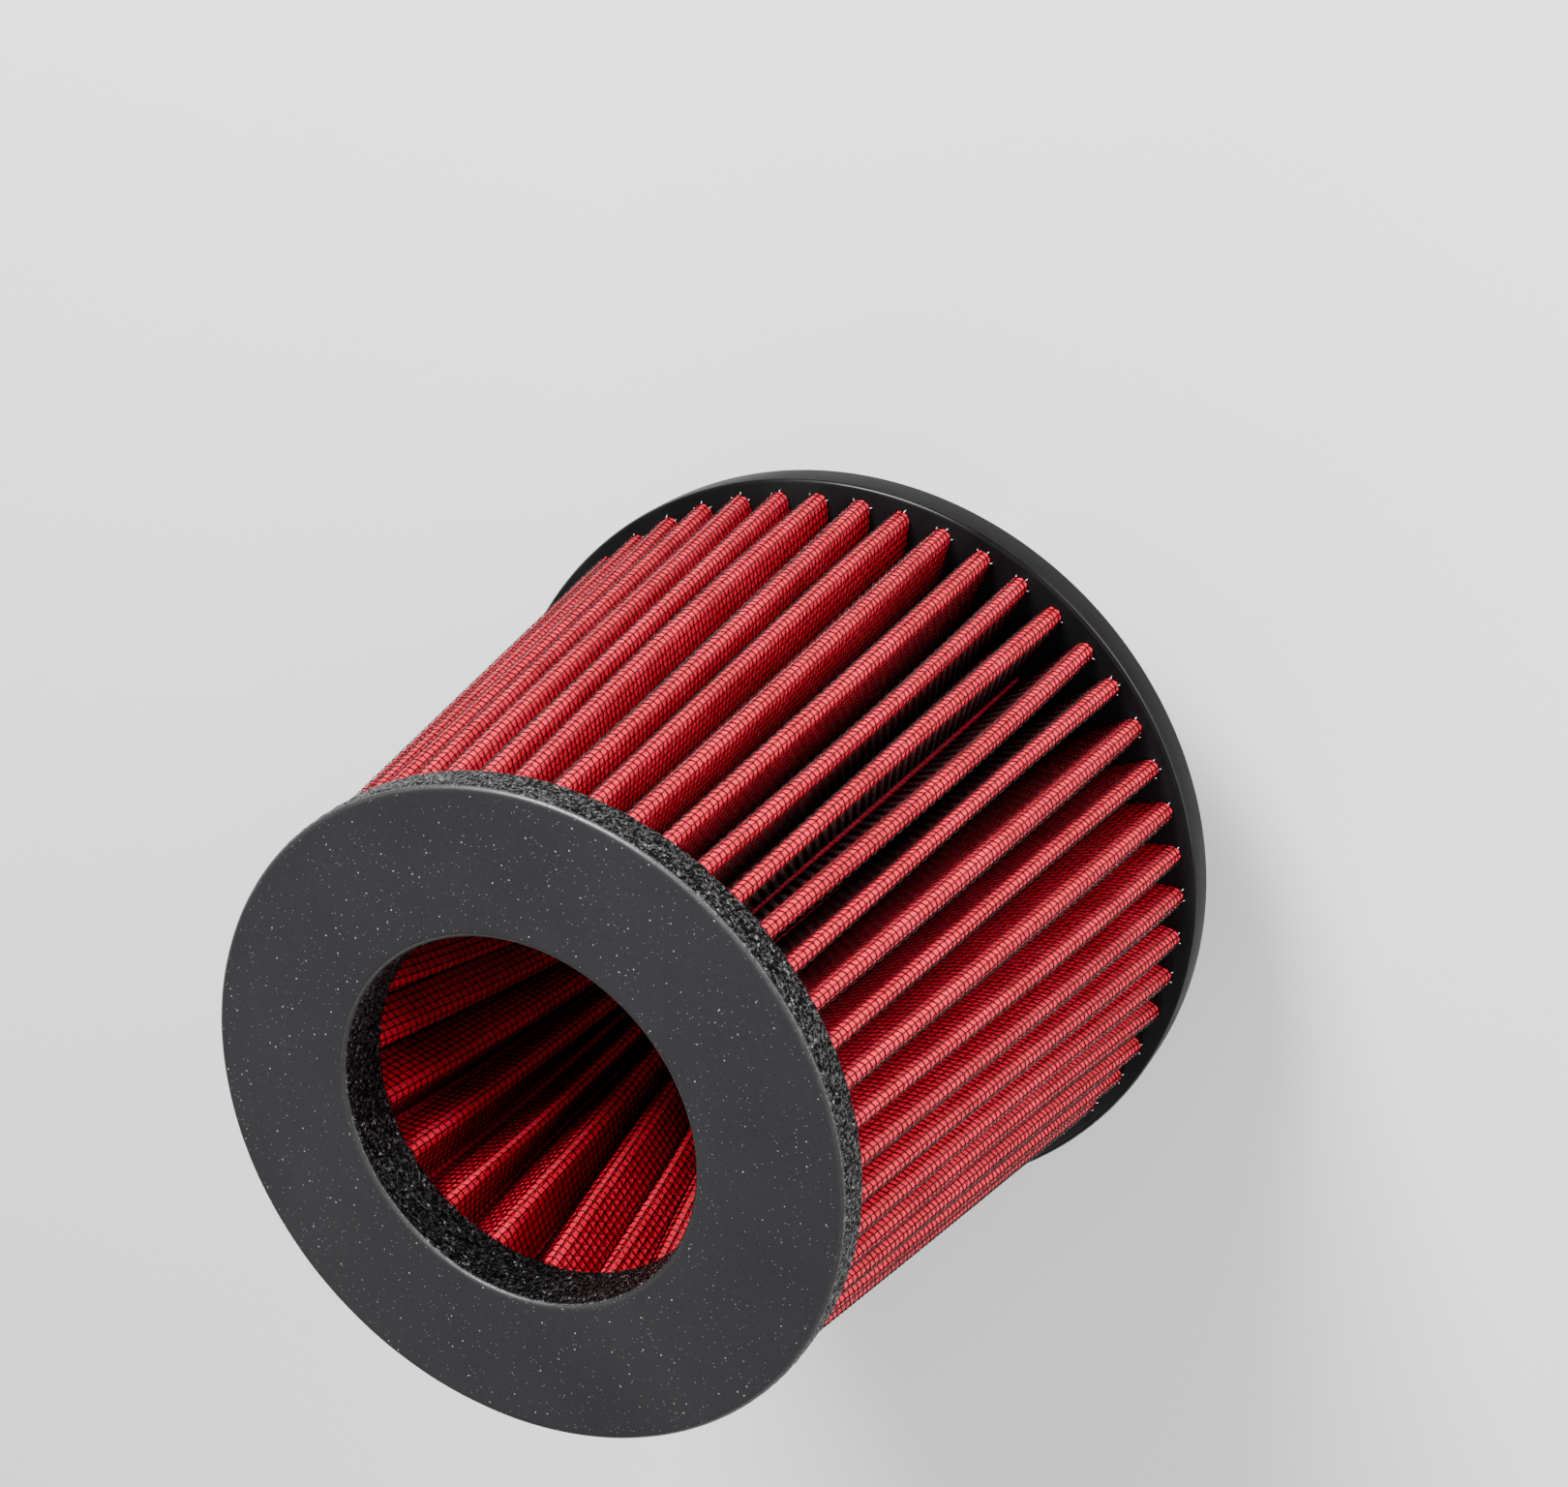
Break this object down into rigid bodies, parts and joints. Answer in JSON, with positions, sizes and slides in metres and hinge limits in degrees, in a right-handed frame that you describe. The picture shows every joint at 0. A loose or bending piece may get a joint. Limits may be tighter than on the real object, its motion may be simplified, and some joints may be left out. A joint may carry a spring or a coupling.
{
  "type": "air filter",
  "caption": "Conical pleated air filter: red gauze in wire mesh, black end cap with an inverted inner cone in its throat, moulded base flange, neck and worm-drive clamp.",
  "frame": {"origin": "centre of the neck's mouth, where the intake pipe goes in, on the plane the filter stands on", "axes": "+Z along the filter's axis from the neck to the end cap; X and Y across it, with the clamp's screw housing at -60 degrees from +X"},
  "size_m": [0.152, 0.152, 0.166],
  "materials": {
    "base_rubber": "gloss",
    "cap_rubber": "matte",
    "filter_gauze": "oiled",
    "wire_mesh": "dark coated",
    "seam_metal": "satin",
    "clamp_steel": "satin",
    "screw_steel": "zinc plated"
  },
  "bodies": {
    "filter": {"base_neck": "base_rubber", "base_flange": "base_rubber", "end_cap": "cap_rubber", "inner_cone_end_cap": "cap_rubber", "outer_mesh_outside": "wire_mesh", "outer_gauze_ply_1": "filter_gauze", "outer_gauze_ply_2": "filter_gauze", "outer_gauze_ply_3": "filter_gauze", "outer_gauze_ply_4": "filter_gauze", "outer_mesh_inside": "wire_mesh", "inner_cone_mesh_outside": "wire_mesh", "inner_cone_gauze_ply_1": "filter_gauze", "inner_cone_gauze_ply_2": "filter_gauze", "inner_cone_gauze_ply_3": "filter_gauze", "inner_cone_gauze_ply_4": "filter_gauze", "inner_cone_mesh_inside": "wire_mesh", "outer_seam_strip": "seam_metal", "inner_cone_seam_strip": "seam_metal"},
    "clamp": {"clamp_band": "clamp_steel", "clamp_saddle": "clamp_steel", "clamp_housing": "clamp_steel"},
    "clamp_tail": {"clamp_band_tail": "clamp_steel"},
    "clamp_screw": {"clamp_screw": "screw_steel"}
  },
  "joints": [
    {"name": "clamp_slide", "type": "slide", "parent": "filter", "child": "clamp", "axis": [0, 0, -1], "range_m": [-0.01, 0.004]},
    {"name": "clamp_screw_turn", "type": "hinge", "parent": "clamp", "child": "clamp_screw", "pos_m": [0.0246, -0.04261, 0.013], "axis": [0.866, 0.5, 0], "range_deg": [-720, 720]},
    {"name": "clamp_tail_feed", "type": "hinge", "parent": "clamp", "child": "clamp_tail", "pos_m": [0, 0, 0.013], "axis": [0, 0, 1], "range_deg": [-8.2, 8.2]}
  ],
  "couplings": [
    {"joint": "clamp_tail_feed", "follows": "clamp_screw_turn", "ratio": -0.011311}
  ]
}
